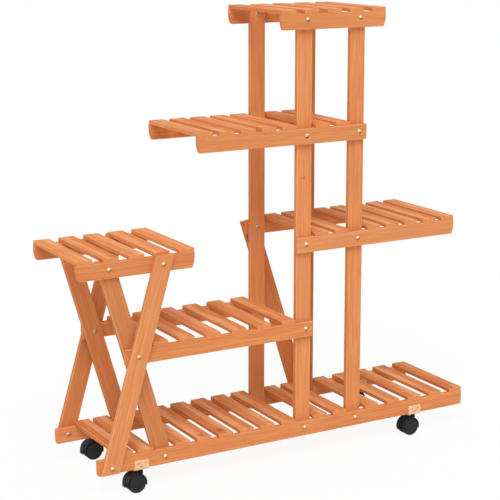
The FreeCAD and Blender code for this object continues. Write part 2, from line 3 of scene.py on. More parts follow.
import logging
import math
import random
from dataclasses import dataclass, field
from enum import Enum
from typing import Dict, List, Optional, Sequence, Tuple

import bpy
from mathutils import Matrix, Vector


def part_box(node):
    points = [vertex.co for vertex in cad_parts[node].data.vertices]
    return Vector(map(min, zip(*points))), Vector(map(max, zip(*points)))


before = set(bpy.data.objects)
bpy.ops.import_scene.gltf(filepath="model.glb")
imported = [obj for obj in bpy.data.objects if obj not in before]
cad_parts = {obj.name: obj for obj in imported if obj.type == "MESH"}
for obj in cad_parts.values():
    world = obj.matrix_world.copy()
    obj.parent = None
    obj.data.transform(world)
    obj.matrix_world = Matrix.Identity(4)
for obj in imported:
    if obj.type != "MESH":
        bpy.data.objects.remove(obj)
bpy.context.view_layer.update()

LOG = logging.getLogger("plant_stand")
MM = 0.001
IMAGE_SIDE = 500
SENSOR_WIDTH = 36.0
SEED = 41
RAIL_FACE = 107.5 * MM
LEG_FACE = 117.5 * MM
MIX_SHARE, MIX_FIRST, MIX_SECOND, MIX_RESULT = 0, 6, 7, 2

Colour = Tuple[float, float, float]
Socket = bpy.types.NodeSocket


def linear(red: int, green: int, blue: int) -> Colour:
    """Turn a colour on the 0 to 255 display scale into a scene colour.

    Args:
        red: Red part.
        green: Green part.
        blue: Blue part.

    Returns:
        The same colour in linear light.
    """
    def part(value: int) -> float:
        """Linear value of one part."""
        share = value / 255
        return share / 12.92 if share <= 0.04045 else ((share + 0.055) / 1.055) ** 2.4
    return part(red), part(green), part(blue)


class Board(Enum):
    """The way that a board's length runs."""

    ALONG_X = "x"
    ALONG_Z = "z"
    LEANING = "leaning"


@dataclass(frozen=True)
class Ramp:
    """A smooth change of one value into another, held at both ends."""

    low: float
    high: float
    start: float = 0.0
    end: float = 1.0


@dataclass(frozen=True)
class Waves:
    """Octaves of a noise, the strength of the finer ones, and how far they are pushed about."""

    detail: float
    rough: float
    distortion: float = 0.0


class Graph:
    """A material's node tree, with short calls for the nodes that the finishes use."""

    def __init__(self, name: str) -> None:
        """Start a material with only a shader and an output.

        Args:
            name: The material's name.
        """
        self.material = bpy.data.materials.new(name)
        self.material.use_nodes = True
        self.tree = self.material.node_tree
        self.tree.nodes.clear()
        self.output = self.tree.nodes.new("ShaderNodeOutputMaterial")
        self.shader = self.tree.nodes.new("ShaderNodeBsdfPrincipled")
        self.tree.links.new(self.shader.outputs[0], self.output.inputs["Surface"])

    def node(self, kind: str, **settings: object) -> bpy.types.Node:
        """Add a node.

        Args:
            kind: Blender's name of the node, without its prefix.
            **settings: Values for the node's own settings.

        Returns:
            The new node.
        """
        made = self.tree.nodes.new("ShaderNode" + kind)
        for key, value in settings.items():
            setattr(made, key, value)
        return made

    def put(self, socket: Socket, value: object) -> None:
        """Give a socket a value, or join it to another socket.

        Args:
            socket: The socket that takes the value.
            value: The value, or the socket that gives it.
        """
        if isinstance(value, bpy.types.NodeSocket):
            self.tree.links.new(value, socket)
        else:
            socket.default_value = value

    def sums(self, operation: str, first: object, second: object = 0.0,
             third: object = 0.0) -> Socket:
        """Work out a sum of up to three values.

        Args:
            operation: Blender's name of the sum.
            first: First value or socket.
            second: Second value or socket.
            third: Third value or socket.

        Returns:
            The result's socket.
        """
        made = self.node("Math", operation=operation)
        for socket, value in zip(made.inputs, (first, second, third)):
            self.put(socket, value)
        return made.outputs[0]

    def ease(self, value: object, low: float, high: float, start: float = 0.0,
             end: float = 1.0) -> Socket:
        """Turn a stretch of values smoothly into another, held at both ends.

        Args:
            value: The value or socket to read.
            low: Value at which the change starts.
            high: Value at which the change ends.
            start: Result at and below the start.
            end: Result at and above the end.

        Returns:
            The result's socket.
        """
        made = self.node("MapRange", interpolation_type="SMOOTHSTEP")
        for socket, given in zip(made.inputs, (value, low, high, start, end)):
            self.put(socket, given)
        return made.outputs[0]

    def follow(self, value: object, ramp: Ramp) -> Socket:
        """Socket of a value that is turned into another along a ramp."""
        return self.ease(value, ramp.low, ramp.high, ramp.start, ramp.end)

    def mix(self, share: object, first: object, second: object, blend: str = "MIX") -> Socket:
        """Mix two colours.

        Args:
            share: Share of the second colour.
            first: First colour or socket.
            second: Second colour or socket.
            blend: Blender's name of the way to mix.

        Returns:
            The mixed colour's socket.
        """
        made = self.node("Mix", data_type="RGBA", blend_type=blend)
        self.put(made.inputs[MIX_SHARE], share)
        for socket, colour in ((MIX_FIRST, first), (MIX_SECOND, second)):
            self.put(made.inputs[socket], (*colour, 1.0) if isinstance(colour, tuple) else colour)
        return made.outputs[MIX_RESULT]

    def noise(self, where: object, scale: float, waves: Waves) -> Socket:
        """Noise between 0 and 1.

        Args:
            where: Socket of the place that the noise is read at.
            scale: Waves in a unit of length.
            waves: Octaves of the noise.

        Returns:
            The noise's socket.
        """
        made = self.node("TexNoise", noise_dimensions="3D")
        self.put(made.inputs["Vector"], where)
        made.inputs["Scale"].default_value = scale
        made.inputs["Detail"].default_value = waves.detail
        made.inputs["Roughness"].default_value = waves.rough
        made.inputs["Distortion"].default_value = waves.distortion
        return made.outputs["Fac"]

    def place(self) -> Socket:
        """Socket of the place on the object, in metres."""
        return self.node("TexCoord").outputs["Object"]

    def stretched(self, where: object, scale: Sequence[float]) -> Socket:
        """Scale a place differently along its three axes.

        Args:
            where: Socket of the place.
            scale: The three factors.

        Returns:
            The scaled place's socket.
        """
        made = self.node("VectorMath", operation="MULTIPLY")
        self.put(made.inputs[0], where)
        made.inputs[1].default_value = tuple(scale)
        return made.outputs[0]

    def split(self, where: object) -> Sequence[Socket]:
        """Split a place into its coordinates.

        Args:
            where: Socket of the place.

        Returns:
            The sockets of its three coordinates.
        """
        made = self.node("SeparateXYZ")
        self.put(made.inputs[0], where)
        return made.outputs

    def joined(self, x: object, y: object, z: object) -> Socket:
        """Join three coordinates into a place.

        Args:
            x: Value or socket of the first coordinate.
            y: Value or socket of the second.
            z: Value or socket of the third.

        Returns:
            The place's socket.
        """
        made = self.node("CombineXYZ")
        for socket, value in zip(made.inputs, (x, y, z)):
            self.put(socket, value)
        return made.outputs[0]

    def bump(self, height: object, strength: float, depth: float) -> None:
        """Raise the surface a little where the height is large.

        Args:
            height: Socket of the height, from 0 to 1.
            strength: Strength of the effect.
            depth: Real depth of the relief in metres.
        """
        made = self.node("Bump")
        made.inputs["Strength"].default_value = strength
        made.inputs["Distance"].default_value = depth
        self.put(made.inputs["Height"], height)
        self.put(self.shader.inputs["Normal"], made.outputs[0])


@dataclass(frozen=True)
class Knot:
    """A knot in a board: its place in the stand's frame, its reach, in metres, and strength."""

    x: float
    y: float
    z: float
    along: float
    across: float
    strength: float


@dataclass(frozen=True)
class Grain:
    """A board's own frame: its middle, the way it runs and its half sizes, in metres."""

    middle: Vector
    along: Vector
    deep: Vector
    half_width: float
    half_depth: float
    end_axis: int
    end_low: float
    end_high: float

    def turn(self) -> Matrix:
        """Matrix that turns the stand's axes into the board's own."""
        across = self.deep.cross(self.along)
        return Matrix((self.along, across, self.deep))


@dataclass(frozen=True)
class StainedTimber:
    """Orange brown stain on close grained softwood."""

    body: Colour = linear(223, 144, 90)
    pale: Colour = linear(234, 162, 107)
    dark: Colour = linear(206, 120, 68)
    knot: Colour = linear(122, 60, 26)
    # Paler colour on the eased edges: partly wear, partly a painted highlight where the edges catch
    # the light.
    wear_and_highlight_colour: Colour = linear(246, 184, 132)
    end_tone: Colour = linear(222, 142, 88)
    pore_tone: Colour = linear(168, 88, 44)
    gloss: float = 0.05
    slat_warmth: Colour = (1.02, 0.97, 0.86)
    slat_spread: float = 0.25
    streaks: float = 88.0
    fibres: float = 300.0
    pores: float = 1100.0
    blotches: float = 7.0
    stretch: float = 0.04
    pore_stretch: float = 0.5
    streak_waves: Waves = Waves(4.0, 0.55, 1.2)
    fibre_waves: Waves = Waves(3.0, 0.68, 0.4)
    pore_waves: Waves = Waves(1.0, 0.5)
    blotch_waves: Waves = Waves(2.0, 0.5)
    board_offset: Tuple[float, float, float] = (7.3, 3.1, 5.7)
    streak_body: Ramp = Ramp(0.3, 0.58, 0.35, 1.0)
    streak_pale: Ramp = Ramp(0.5, 0.76, 0.0, 0.65)
    fibre_dark: Ramp = Ramp(0.42, 0.64, 0.0, 0.75)
    fibre_pale: Ramp = Ramp(0.3, 0.46, 0.45, 0.0)
    pore_dark: Ramp = Ramp(0.56, 0.74, 0.0, 0.3)
    blotch_dark: Ramp = Ramp(0.35, 0.7, 0.3, 0.0)
    board_pale: Ramp = Ramp(0.0, 1.0, 0.0, 0.35)
    spread_reach: float = 0.6
    ring_dark: Ramp = Ramp(-0.4, 0.9, 0.0, 0.4)
    wear_and_highlight_patches: Ramp = Ramp(0.3, 0.6, 0.1, 0.55)
    roughness: Ramp = Ramp(0.3, 0.7, 0.48, 0.68)
    fibre_relief: float = 0.6
    streak_relief: float = 0.4
    relief_strength: float = 0.22
    relief_depth: float = 0.35 * MM
    edge_band: float = 1.9 * MM
    end_band: float = 0.5 * MM
    ring_pitch: float = 2.6 * MM
    pith_spread: float = 30.0 * MM
    pith_aside: float = -15.0 * MM
    pith_under: float = 20.0 * MM
    knot_core: float = 0.15

    def dress(self, node: bpy.types.Object, graph: Graph, local: Socket, chance: Socket,
              edges: Socket, ends: Socket, knots: Optional[Socket],
              stain_and_shade_tone: Colour, spread: float = 0.0) -> None:
        """Join the wood's pattern to a board's material.

        Args:
            node: The board.
            graph: The material's graph.
            local: Place in the board's own frame, length first.
            chance: A number from 0 to 1 that is the same all over one board.
            edges: Mask of the eased edges.
            ends: Mask of the sawn ends.
            knots: Mask of the knots, or None where there are none.
            stain_and_shade_tone: Colour that the board's colour is multiplied by, white for the
                usual: partly its own stain tone, partly painted shade on boards that lie in shadow
                and painted sheen on the paler slats.
            spread: How much darker the darkest board of a group is.
        """
        offset = graph.joined(*(graph.sums("MULTIPLY", chance, far) for far in self.board_offset))
        shifted = graph.node("VectorMath", operation="ADD")
        graph.put(shifted.inputs[0], local)
        graph.put(shifted.inputs[1], offset)
        drawn = graph.stretched(shifted.outputs[0], (self.stretch, 1.0, 1.0))
        pulled = graph.stretched(drawn, (self.pore_stretch, 1.0, 1.0))
        streak = graph.noise(drawn, self.streaks, self.streak_waves)
        fine = graph.noise(drawn, self.fibres, self.fibre_waves)
        pore = graph.noise(pulled, self.pores, self.pore_waves)
        blotch = graph.noise(shifted.outputs[0], self.blotches, self.blotch_waves)
        colour = graph.mix(graph.follow(streak, self.streak_body), self.dark, self.body)
        for pattern, ramp, stain in ((streak, self.streak_pale, self.pale),
                                     (fine, self.fibre_dark, self.dark),
                                     (fine, self.fibre_pale, self.pale),
                                     (pore, self.pore_dark, self.pore_tone),
                                     (blotch, self.blotch_dark, self.dark),
                                     (chance, self.board_pale, self.pale)):
            colour = graph.mix(graph.follow(pattern, ramp), colour, stain)
        if spread > 0:
            darkening = graph.ease(chance, 0.0, self.spread_reach, spread, 0.0)
            colour = graph.mix(darkening, colour, self.dark)
        # Multiply in the board's tone, which holds painted shade and sheen as well as stain.
        if stain_and_shade_tone != (1.0, 1.0, 1.0):
            colour = graph.mix(1.0, colour, stain_and_shade_tone, "MULTIPLY")
        rings = graph.sums("SINE", graph.sums("MULTIPLY", self.pith_distance(graph, local, chance),
                                              math.tau / self.ring_pitch))
        end_colour = graph.mix(graph.follow(rings, self.ring_dark), self.end_tone, self.dark)
        colour = graph.mix(ends, colour, end_colour)
        # Eased edges are lightened in patches: partly wear, partly a painted highlight.
        wear_and_highlight_mask = graph.sums("MULTIPLY", edges, graph.follow(blotch, self.wear_and_highlight_patches))
        colour = graph.mix(wear_and_highlight_mask, colour, self.wear_and_highlight_colour)
        if knots is not None:
            colour = graph.mix(knots, colour, self.knot)
        graph.put(graph.shader.inputs["Base Color"], colour)
        graph.put(graph.shader.inputs["Roughness"], graph.follow(fine, self.roughness))
        graph.shader.inputs["Specular IOR Level"].default_value = self.gloss
        relief = graph.sums("ADD", graph.sums("MULTIPLY", fine, self.fibre_relief),
                            graph.sums("MULTIPLY", streak, self.streak_relief))
        graph.bump(relief, self.relief_strength, self.relief_depth)
        node.material_slots[0].material = graph.material

    def pith_distance(self, graph: Graph, local: Socket, chance: Socket) -> Socket:
        """Distance from a log's middle that lies outside the board, for the rings on its ends.

        Args:
            graph: The material's graph.
            local: Place in the board's own frame, length first.
            chance: The board's own number from 0 to 1.

        Returns:
            The distance's socket.
        """
        parts = graph.split(local)
        aside = graph.sums("MULTIPLY_ADD", chance, self.pith_spread, self.pith_aside)
        across = graph.sums("ADD", parts[1], aside)
        deep = graph.sums("ADD", parts[2], self.pith_under)
        return graph.sums("SQRT", graph.sums("ADD", graph.sums("MULTIPLY", across, across),
                                             graph.sums("MULTIPLY", deep, deep)))

    def knot_mask(self, graph: Graph, where: Socket,
                  knots: Sequence[Tuple[Vector, Vector, float]]) -> Optional[Socket]:
        """Mask of a board's knots, or None where it has none.

        Args:
            graph: The material's graph.
            where: Place in the frame that the knots are given in.
            knots: Middle, reaches along the three axes, and strength of each knot.

        Returns:
            The mask's socket, or None.
        """
        mask: Optional[Socket] = None
        for middle, reach, strength in knots:
            scale = Vector((1 / reach.x, 1 / reach.y, 1 / reach.z))
            away = graph.node("VectorMath", operation="DISTANCE")
            graph.put(away.inputs[0], graph.stretched(where, scale))
            away.inputs[1].default_value = tuple(m * k for m, k in zip(middle, scale))
            spot = graph.ease(away.outputs["Value"], self.knot_core, 1.0, strength, 0.0)
            mask = spot if mask is None else graph.sums("MAXIMUM", mask, spot)
        return mask


@dataclass
class Timber:
    """Rails, posts, legs, brace and slats, which all keep their CAD shapes."""

    finish: StainedTimber = field(default_factory=StainedTimber)
    leg_width: float = 36.5 * MM
    shelves: Tuple[str, ...] = ("bottom", "middle", "side", "right", "upper", "top")
    sides: Tuple[str, ...] = ("front", "back")
    least_slat_gap: float = 5.0 * MM
    least_slat_width: float = 28.0 * MM
    cut_band: float = 2.0 * MM
    slat_draw: float = 91.7
    knots: Dict[str, Tuple[Knot, ...]] = field(default_factory=lambda: {
        "post_left_front": (Knot(0.046, -0.0975, 0.583, 0.005, 0.008, 0.38),),
        "bottom_slats": (Knot(-0.140, -0.088, 0.0846, 0.016, 0.011, 0.6),
                         Knot(-0.190, -0.096, 0.0846, 0.013, 0.009, 0.55),
                         Knot(-0.087, 0.060, 0.0846, 0.010, 0.007, 0.35)),
        "right_slats": (Knot(0.310, 0.040, 0.4709, 0.012, 0.007, 0.3),),
        "side_rail_back": (Knot(-0.330, 0.0975, 0.440, 0.012, 0.007, 0.35),),
        "post_right_back": (Knot(0.176, 0.0975, 0.340, 0.011, 0.007, 0.4),),
        "back_brace": (Knot(0.110, 0.1175, 0.250, 0.012, 0.008, 0.4),),
    })
    knot_depth: float = 0.012
    # Per-board colour factors: partly each board's own stain tone, partly painted shade on boards
    # that lie in shadow, such as the inner legs and the back rails and posts, and painted sheen on
    # the paler upper, top and side slats.
    stain_and_shade_tones: Dict[str, float] = field(default_factory=lambda: {
        "leg_inner_front": 0.84, "leg_inner_back": 0.92, "leg_outer_front": 0.97,
        "leg_outer_back": 0.9, "back_brace": 0.93, "post_left_front": 1.01,
        "post_left_back": 0.99, "post_right_back": 0.8, "bottom_rail_front": 0.99,
        "side_rail_front": 0.98, "side_rail_back": 0.84, "right_rail_front": 0.95,
        "upper_rail_front": 0.95, "upper_rail_back": 0.92, "top_rail_front": 0.93,
        "top_rail_back": 0.9, "bottom_slats": 0.95, "side_slats": 1.1, "right_slats": 0.98,
        "upper_slats": 1.05, "top_slats": 1.07})

    def single(self, name: str, run: Board) -> Grain:
        """Work out a single board's own frame from its box.

        Args:
            name: The board's node.
            run: The way that its length runs.

        Returns:
            The board's frame.
        """
        low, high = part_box(name)
        middle = (low + high) / 2
        half = (high - low) / 2
        deep = Vector((0, 1, 0))
        if run is Board.ALONG_X:
            return Grain(middle, Vector((1, 0, 0)), deep, half.z, half.y, 0, low.x, high.x)
        if run is Board.ALONG_Z:
            return Grain(middle, Vector((0, 0, 1)), deep, half.x, half.y, 2, low.z, high.z)
        along = self.lean(name, low, high)
        return Grain(middle, along, deep, self.leg_width / 2, half.y, 2, low.z, high.z)

    def lean(self, name: str, low: Vector, high: Vector) -> Vector:
        """Work out the direction of a leaning board from the middles of its two ends.

        Args:
            name: The board's node.
            low: Low corner of its box.
            high: High corner of its box.

        Returns:
            The direction, one metre long.
        """
        corners = [v.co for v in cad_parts[name].data.vertices]
        foot = [c.x for c in corners if c.z < low.z + self.cut_band]
        head = [c.x for c in corners if c.z > high.z - self.cut_band]
        run = (min(head) + max(head)) / 2 - (min(foot) + max(foot)) / 2
        return Vector((run, 0, high.z - low.z)).normalized()

    def slat_edges(self, name: str) -> List[Tuple[float, float]]:
        """Left and right edge of every slat of a shelf.

        Args:
            name: The slats' node.

        Returns:
            The edges, from left to right.
        """
        places = sorted({round(v.co.x, 5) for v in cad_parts[name].data.vertices})
        edges: List[Tuple[float, float]] = []
        start = places[0]
        for before, after in zip(places, places[1:]):
            if after - before > self.least_slat_gap and after - start > self.least_slat_width:
                edges.append((start, before))
                start = after
        edges.append((start, places[-1]))
        return edges

    def dress_single(self, name: str, run: Board, chance: float) -> None:
        """Give a single board its wood.

        Args:
            name: The board's node.
            run: The way that its length runs.
            chance: Its own number from 0 to 1.
        """
        grain = self.single(name, run)
        graph = Graph("wood_" + name)
        place = graph.place()
        turn = grain.turn()
        mapping = graph.node("Mapping", vector_type="POINT")
        graph.put(mapping.inputs["Vector"], place)
        mapping.inputs["Rotation"].default_value = turn.to_euler("XYZ")
        mapping.inputs["Location"].default_value = -(turn @ grain.middle)
        local = mapping.outputs[0]
        parts = graph.split(local)
        edges = self.edge_mask(graph, parts[1], parts[2], grain.half_width, grain.half_depth)
        end_place = graph.split(place)[grain.end_axis]
        ends = self.end_mask(graph, end_place, grain.end_low, grain.end_high)
        same = graph.node("Value")
        same.outputs[0].default_value = chance
        stain_and_shade_tone = (self.stain_and_shade_tones.get(name, 1.0),) * 3
        knots = self.finish.knot_mask(graph, local, [
            (turn @ (Vector((k.x, k.y, k.z)) - grain.middle),
             Vector((k.along, k.across, self.knot_depth)), k.strength)
            for k in self.knots.get(name, ())])
        self.finish.dress(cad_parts[name], graph, local, same.outputs[0], edges, ends,
                          knots, stain_and_shade_tone)

    def edge_mask(self, graph: Graph, across: Socket, deep: Socket, half_width: float,
                  half_depth: float) -> Socket:
        """Mask of the eased edges along a board.

        Args:
            graph: The material's graph.
            across: Place across the board, from its middle.
            deep: Place through its thickness, from its middle.
            half_width: Half of its width.
            half_depth: Half of its thickness.

        Returns:
            The mask's socket.
        """
        band = self.finish.edge_band
        side_edge = graph.ease(graph.sums("ABSOLUTE", across), half_width - band, half_width)
        face_edge = graph.ease(graph.sums("ABSOLUTE", deep), half_depth - band, half_depth)
        return graph.sums("MULTIPLY", side_edge, face_edge)

    def end_mask(self, graph: Graph, place: Socket, low: float, high: float) -> Socket:
        """Mask of the two sawn ends.

        Args:
            graph: The material's graph.
            place: Place along the board's length.
            low: Where the length starts.
            high: Where it ends.

        Returns:
            The mask's socket.
        """
        band = self.finish.end_band
        first = graph.ease(place, low, low + band, 1.0, 0.0)
        last = graph.ease(place, high - band, high)
        return graph.sums("MAXIMUM", first, last)

    def dress_slats(self, name: str) -> None:
        """Give a shelf's slats their wood, each with its own tone and grain.

        Args:
            name: The slats' node.
        """
        low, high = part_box(name)
        edges = self.slat_edges(name)
        length = high.x - low.x
        graph = Graph("wood_" + name)
        place = graph.place()
        parts = graph.split(place)
        steps = graph.node("ValToRGB")
        ramp = steps.color_ramp
        ramp.interpolation = "CONSTANT"
        share = graph.node("MapRange")
        for socket, value in zip(share.inputs, (parts[0], low.x, high.x, 0.0, 1.0)):
            graph.put(socket, value)
        graph.put(steps.inputs[0], share.outputs[0])
        limits = [0.0] + [((a[1] + b[0]) / 2 - low.x) / length for a, b in zip(edges, edges[1:])]
        for index, (limit, (left, right)) in enumerate(zip(limits, edges)):
            stop = ramp.elements[index] if index < len(ramp.elements) else ramp.elements.new(limit)
            stop.position = limit
            centre = ((left + right) / 2 - low.x) / length
            stop.color = (centre, centre, centre, 1.0)
        centre_x = graph.node("MapRange")
        for socket, value in zip(centre_x.inputs, (steps.outputs[0], 0.0, 1.0, low.x, high.x)):
            graph.put(socket, value)
        across = graph.sums("SUBTRACT", parts[0], centre_x.outputs[0])
        deep = graph.sums("SUBTRACT", parts[2], (low.z + high.z) / 2)
        local = graph.joined(parts[1], across, deep)
        half_width = (edges[0][1] - edges[0][0]) / 2
        edge_mask = self.edge_mask(graph, across, deep, half_width, (high.z - low.z) / 2)
        ends = self.end_mask(graph, parts[1], low.y, high.y)
        white = graph.node("TexWhiteNoise", noise_dimensions="1D")
        graph.put(white.inputs["W"], graph.sums("MULTIPLY", steps.outputs[0], self.slat_draw))
        knots = self.finish.knot_mask(graph, place, [
            (Vector((k.x, k.y, k.z)), Vector((k.across, k.along, self.knot_depth)), k.strength)
            for k in self.knots.get(name, ())])
        # The shelf's factor holds painted shade or sheen as well as its stain tone.
        strength = self.stain_and_shade_tones.get(name, 1.0)
        stain_and_shade_tone = tuple(part * strength for part in self.finish.slat_warmth)
        self.finish.dress(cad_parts[name], graph, local, white.outputs[0], edge_mask, ends,
                          knots, stain_and_shade_tone, self.finish.slat_spread)

    def build(self) -> None:
        """Dress every board of the stand."""
        chance = random.Random(SEED)
        boards: List[Tuple[str, Board]] = []
        for side in self.sides:
            boards += [(shelf + "_rail_" + side, Board.ALONG_X) for shelf in self.shelves]
            boards += [("post_" + where + "_" + side, Board.ALONG_Z) for where in ("left", "right")]
            boards += [("leg_" + layer + "_" + side, Board.LEANING) for layer in ("outer", "inner")]
        boards.append(("back_brace", Board.LEANING))
        for name, run in boards:
            self.dress_single(name, run, chance.random())
            LOG.info("board %s dressed", name)
        for shelf in self.shelves:
            self.dress_slats(shelf + "_slats")
            LOG.info("slats of the %s shelf dressed", shelf)


@dataclass(frozen=True)
class PlatedMetal:
    """Plated metal with soft clouding and fine scratches."""

    name: str
    body: Colour
    dull: Colour
    metallic: float
    roughness_low: float
    roughness_high: float
    cloud: float = 180.0
    scratch: float = 900.0
    cloud_waves: Waves = Waves(3.0, 0.6)
    scratch_waves: Waves = Waves(2.0, 0.6)
    scratch_stretch: float = 0.12
    cloud_dull: Ramp = Ramp(0.35, 0.7)
    cloud_share: float = 0.5
    rough_limits: Tuple[float, float] = (0.3, 0.7)
    relief_strength: float = 0.08
    relief_depth: float = 0.05 * MM
    # With rim faces given, the material paints shade: a dark band round each dome's foot where it
    # meets the wood, stronger on the side turned from the light, and a darker underside of each
    # dome.
    rim_faces: Tuple[float, ...] = ()
    rim_height: float = 1.5 * MM
    painted_shade_colour: Colour = linear(106, 60, 28)
    painted_light_way: Tuple[float, float] = (-0.45, 0.9)
    rim_shade_by_light: Ramp = Ramp(-0.2, 0.7, 1.0, 0.3)
    dome_shade: Ramp = Ramp(-0.5, 0.2, 1.0, 0.0)

    def painted_shade_mask(self, graph: Graph, place: Socket) -> Socket:
        """Mask of painted shade round a fastener's foot, stronger on the side turned from the
        light, and on the underside of its dome.

        Args:
            graph: The material's graph.
            place: Place on the object.

        Returns:
            The mask's socket.
        """
        outwards = graph.sums("ABSOLUTE", graph.split(place)[1])
        mask: Optional[Socket] = None
        for face in self.rim_faces:
            above = graph.sums("SUBTRACT", outwards, face)
            near = graph.sums("MULTIPLY", graph.ease(above, -self.rim_height, -self.rim_height / 2),
                              graph.ease(above, self.rim_height / 3, self.rim_height, 1.0, 0.0))
            mask = near if mask is None else graph.sums("MAXIMUM", mask, near)
        # The painted shade is strongest on the lower right of each dome, the side turned from the
        # key light.
        normal = graph.split(graph.node("TexCoord").outputs["Normal"])
        light_facing = graph.sums("ADD", graph.sums("MULTIPLY", normal[0], self.painted_light_way[0]),
                           graph.sums("MULTIPLY", normal[2], self.painted_light_way[1]))
        mask = graph.sums("MULTIPLY", mask, graph.follow(light_facing, self.rim_shade_by_light))
        return graph.sums("MAXIMUM", mask, graph.follow(light_facing, self.dome_shade))

    def material(self) -> bpy.types.Material:
        """Make the material of this metal.

        Returns:
            The material.
        """
        graph = Graph(self.name)
        place = graph.place()
        cloud = graph.noise(place, self.cloud, self.cloud_waves)
        drawn = graph.stretched(place, (1.0, 1.0, self.scratch_stretch))
        scratch = graph.noise(drawn, self.scratch, self.scratch_waves)
        colour = graph.mix(graph.follow(cloud, self.cloud_dull), self.body, self.dull)
        # Painted shade round the foot and on the underside of each dome.
        if self.rim_faces:
            colour = graph.mix(self.painted_shade_mask(graph, place), colour, self.painted_shade_colour)
        graph.put(graph.shader.inputs["Base Color"], colour)
        graph.shader.inputs["Metallic"].default_value = self.metallic
        mixed = graph.sums("ADD", graph.sums("MULTIPLY", cloud, self.cloud_share),
                           graph.sums("MULTIPLY", scratch, 1 - self.cloud_share))
        rough = graph.ease(mixed, *self.rough_limits, self.roughness_low, self.roughness_high)
        graph.put(graph.shader.inputs["Roughness"], rough)
        graph.bump(scratch, self.relief_strength, self.relief_depth)
        return graph.material


@dataclass(frozen=True)
class MouldedPlastic:
    """Black moulded plastic with a fine spark eroded texture."""

    name: str
    body: Colour = linear(15, 17, 17)
    scuffed: Colour = linear(28, 30, 30)
    gloss: float = 0.2
    roughness: Ramp = Ramp(0.3, 0.7, 0.42, 0.6)
    speckle: float = 1400.0
    speckle_waves: Waves = Waves(2.0, 0.6)
    speckle_scuff: Ramp = Ramp(0.5, 0.75, 0.0, 0.35)
    cloud: float = 90.0
    cloud_waves: Waves = Waves(3.0, 0.5)
    cloud_scuff: Ramp = Ramp(0.45, 0.75, 0.0, 0.6)
    relief_strength: float = 0.3
    relief_depth: float = 0.08 * MM
    tread: Colour = linear(12, 12, 12)
    tread_fade: float = 0.5 * MM
    # Paler colour of the painted highlights on the wheel rings and fender rims.
    painted_rim_highlight: Colour = linear(74, 77, 78)
    face_radius: float = 16.3 * MM
    ring_width: float = 0.8 * MM
    ring_highlight_strength: float = 0.45
    fender_highlight_strength: float = 0.25

    def material(self, suffix: str = "", hub: Optional[Vector] = None,
                 fender: Optional[Tuple[float, float]] = None) -> bpy.types.Material:
        """Material of this plastic.

        Args:
            suffix: End of the material's name.
            hub: Middle of a wheel, whose tread is darker than its face, or None for no wheel.
            fender: Distance of a fender's middle from the stand's middle and half the fender's
                width, whose two rims get a painted highlight, or None for no fender.

        Returns:
            The material.
        """
        graph = Graph(self.name + suffix)
        place = graph.place()
        speckle = graph.noise(place, self.speckle, self.speckle_waves)
        cloud = graph.noise(place, self.cloud, self.cloud_waves)
        colour = graph.mix(graph.follow(cloud, self.cloud_scuff), self.body, self.scuffed)
        colour = graph.mix(graph.follow(speckle, self.speckle_scuff), colour, self.scuffed)
        if hub is not None:
            colour = self.wheel_colour(graph, place, hub, colour)
        if fender is not None:
            colour = self.fender_colour(graph, place, fender, colour)
        graph.put(graph.shader.inputs["Base Color"], colour)
        graph.put(graph.shader.inputs["Roughness"], graph.follow(cloud, self.roughness))
        graph.shader.inputs["Specular IOR Level"].default_value = self.gloss
        graph.bump(speckle, self.relief_strength, self.relief_depth)
        return graph.material

    def wheel_colour(self, graph: Graph, place: Socket, hub: Vector, colour: Socket) -> Socket:
        """Darken a wheel's tread and paint a highlight on the ring round its face.

        Args:
            graph: The material's graph.
            place: Place on the object.
            hub: Middle of the wheel.
            colour: Colour that the plastic has elsewhere.

        Returns:
            The colour's socket.
        """
        parts = graph.split(place)
        away = graph.node("VectorMath", operation="LENGTH")
        graph.put(away.inputs[0], graph.joined(graph.sums("SUBTRACT", parts[0], hub.x), 0.0,
                                               graph.sums("SUBTRACT", parts[2], hub.z)))
        far = away.outputs["Value"]
        rim = graph.ease(far, self.face_radius, self.face_radius + self.tread_fade)
        colour = graph.mix(rim, colour, self.tread)
        # Painted highlight on the raised ring round the wheel's face.
        ring_middle = self.face_radius - self.ring_width / 2
        from_ring = graph.sums("ABSOLUTE", graph.sums("SUBTRACT", far, ring_middle))
        ring_highlight = graph.ease(from_ring, self.ring_width / 4, self.ring_width, self.ring_highlight_strength, 0.0)
        return graph.mix(ring_highlight, colour, self.painted_rim_highlight)

    def fender_colour(self, graph: Graph, place: Socket, fender: Tuple[float, float],
                      colour: Socket) -> Socket:
        """Paint a highlight along the two rims of a fender.

        Args:
            graph: The material's graph.
            place: Place on the object.
            fender: Distance of the fender's middle from the stand's and half its width.
            colour: Colour that the plastic has elsewhere.

        Returns:
            The colour's socket.
        """
        outwards = graph.sums("ABSOLUTE", graph.split(place)[1])
        aside = graph.sums("ABSOLUTE", graph.sums("SUBTRACT", outwards, fender[0]))
        # Painted highlight along both rims of the fender.
        rim_highlights = graph.ease(aside, fender[1] - self.ring_width, fender[1], 0.0, self.fender_highlight_strength)
        return graph.mix(rim_highlights, colour, self.painted_rim_highlight)


@dataclass
class Hardware:
    """Frame bolts, domed nuts and slat nails."""

    # The domed nuts carry painted shade round their feet and on their undersides.
    nut_metal: PlatedMetal = PlatedMetal(
        "nut_brass_plate", linear(252, 214, 166), linear(228, 184, 136), metallic=0.35,
        roughness_low=0.2, roughness_high=0.38, rim_faces=(RAIL_FACE, LEG_FACE))
    bolt_metal: PlatedMetal = PlatedMetal(
        "bolt_zinc_plate", linear(204, 176, 146), linear(146, 116, 88), metallic=0.6,
        roughness_low=0.3, roughness_high=0.5)
    nail_metal: PlatedMetal = PlatedMetal(
        "nail_stained_over", linear(226, 144, 86), linear(210, 124, 68), metallic=0.0,
        roughness_low=0.5, roughness_high=0.68)

    def build(self) -> None:
        """Dress the three groups of fasteners."""
        for name, metal in (("frame_cap_nuts", self.nut_metal), ("frame_bolts", self.bolt_metal),
                            ("slat_nails", self.nail_metal)):
            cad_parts[name].material_slots[0].material = metal.material()
            LOG.info("fasteners %s dressed", name)


